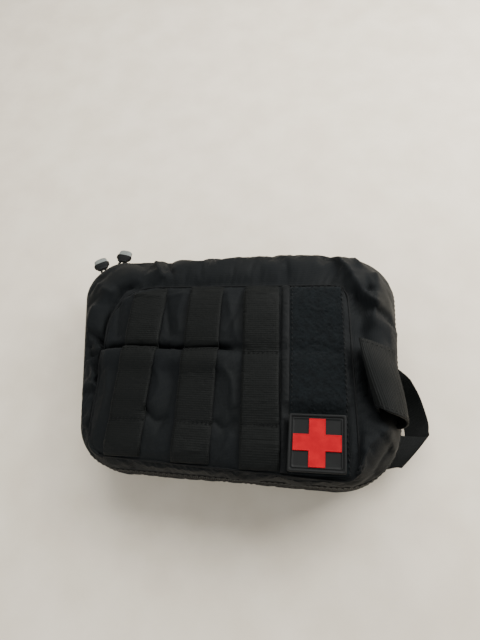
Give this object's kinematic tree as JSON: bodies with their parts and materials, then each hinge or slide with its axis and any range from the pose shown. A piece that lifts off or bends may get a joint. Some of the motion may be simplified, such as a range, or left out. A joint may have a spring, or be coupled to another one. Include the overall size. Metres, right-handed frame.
{
  "type": "first aid pouch",
  "caption": "Soft zipped first aid pouch with webbing rows, a pile field with a cross patch, carrying straps and dressings inside.",
  "frame": {"origin": "on the resting plane under the middle of the padded back panel", "axes": "+Z out of the front panel, +X towards the carrying end, +Y towards the side with the zip pulls"},
  "size_m": [0.2812, 0.1914, 0.0862],
  "materials": {
    "nylon_cloth": "woven nylon, matt",
    "nylon_webbing": "ribbed webbing",
    "loop_pile": "loop pile",
    "zip_coil": "nylon coil",
    "dark_metal": "satin enamel",
    "grey_rubber": "moulded, matt",
    "charcoal_rubber": "moulded, matt",
    "red_rubber": "moulded, matt",
    "elastic_net": "knitted elastic",
    "gauze": "loose cotton weave",
    "crepe": "crinkled cotton",
    "white_tape": "cloth tape",
    "card": "plain board",
    "pale_packet": "sealed film",
    "green_packet": "sealed film",
    "foil_packet": "crinkled foil film",
    "scissor_steel": "brushed"
  },
  "bodies": {
    "back_half": {"back_panel": "nylon_cloth", "back_gusset": "nylon_cloth", "back_zip_tape": "nylon_webbing", "back_zip_coil": "zip_coil", "hinge_gore_back": "nylon_cloth", "rear_webbing_1": "nylon_webbing", "rear_webbing_2": "nylon_webbing", "rear_webbing_3": "nylon_webbing", "snap_stud_1": "dark_metal", "snap_stud_2": "dark_metal", "crepe_bandage": "crepe", "gauze_roll_1": "gauze", "gauze_roll_2": "gauze", "elastic_loop_1": "elastic_net", "elastic_loop_2": "elastic_net", "elastic_loop_3": "elastic_net", "tape_roll": "white_tape", "tape_core": "card", "plaster_packet": "green_packet", "triangular_bandage": "pale_packet", "foil_blanket": "foil_packet", "wound_dressing": "pale_packet", "wipe_packets": "green_packet", "glove_packet": "pale_packet", "scissor_lower_blade": "scissor_steel", "scissor_rivet": "scissor_steel"},
    "front_half": {"front_gusset": "nylon_cloth", "hinge_gore_front": "nylon_cloth", "front_zip_coil": "zip_coil", "front_zip_tape": "nylon_webbing", "front_panel": "nylon_cloth", "webbing_row_1": "nylon_webbing", "webbing_row_2": "nylon_webbing", "webbing_row_3": "nylon_webbing", "pile_binding": "nylon_webbing", "pile_field": "loop_pile", "net_pocket": "elastic_net", "pocket_hem": "elastic_net"},
    "patch": {"patch_hook_backing": "nylon_webbing", "patch_base": "charcoal_rubber", "patch_cross": "red_rubber"},
    "hanger": {"hanger_band": "nylon_webbing"},
    "handle": {"carry_handle": "nylon_webbing"},
    "slider_1": {"zip_slider_1": "dark_metal"},
    "slider_2": {"zip_slider_2": "dark_metal"},
    "pull_1": {"pull_cord_1": "nylon_webbing", "pull_tip_1": "grey_rubber"},
    "pull_2": {"pull_cord_2": "nylon_webbing", "pull_tip_2": "grey_rubber"},
    "strap_1": {"attachment_strap_1": "nylon_webbing", "snap_cap_1": "dark_metal"},
    "strap_2": {"attachment_strap_2": "nylon_webbing", "snap_cap_2": "dark_metal"},
    "scissor_blade": {"scissor_upper_blade": "scissor_steel"}
  },
  "joints": [
    {"name": "front_open", "type": "hinge", "parent": "back_half", "child": "front_half", "pos_m": [-0.117, -0.003, 0.0409], "axis": [0.1778, -0.9841, 0], "range_deg": [0, 175]},
    {"name": "patch_lift", "type": "slide", "parent": "front_half", "child": "patch", "axis": [-0.0876, 0, 0.9962], "range_m": [0, 0.04]},
    {"name": "hanger_swing", "type": "hinge", "parent": "front_half", "child": "hanger", "pos_m": [0.1236, -0.019, 0.0661], "axis": [0, 1, 0], "range_deg": [0, 110]},
    {"name": "handle_lift", "type": "hinge", "parent": "back_half", "child": "handle", "pos_m": [0.11533, -0.025, 0.0222], "axis": [0, -1, 0], "range_deg": [-12, 60]},
    {"name": "slider_1_run", "type": "hinge", "parent": "back_half", "child": "slider_1", "pos_m": [-0.0963, 0.05113, 0.0409], "axis": [0, 0, -1], "range_deg": [0, 4]},
    {"name": "slider_2_run", "type": "hinge", "parent": "back_half", "child": "slider_2", "pos_m": [-0.0963, 0.05113, 0.0409], "axis": [0, 0, -1], "range_deg": [0, 17]},
    {"name": "pull_1_swing", "type": "hinge", "parent": "slider_1", "child": "pull_1", "pos_m": [-0.12033, 0.07602, 0.0409], "axis": [0.8829, 0.4695, 0], "range_deg": [-85, 85]},
    {"name": "pull_2_swing", "type": "hinge", "parent": "slider_2", "child": "pull_2", "pos_m": [-0.10813, 0.08364, 0.0409], "axis": [0.9848, -0.1736, 0], "range_deg": [-85, 85]},
    {"name": "strap_1_open", "type": "hinge", "parent": "back_half", "child": "strap_1", "pos_m": [0.096, 0.038, 0.0008], "axis": [0, -1, 0], "range_deg": [0, 90]},
    {"name": "strap_2_open", "type": "hinge", "parent": "back_half", "child": "strap_2", "pos_m": [0.096, -0.038, 0.0008], "axis": [0, -1, 0], "range_deg": [0, 90]},
    {"name": "scissor_open", "type": "hinge", "parent": "back_half", "child": "scissor_blade", "pos_m": [-0.072, 0, 0.0322], "axis": [0, 0, 1], "range_deg": [0, 25]}
  ]
}
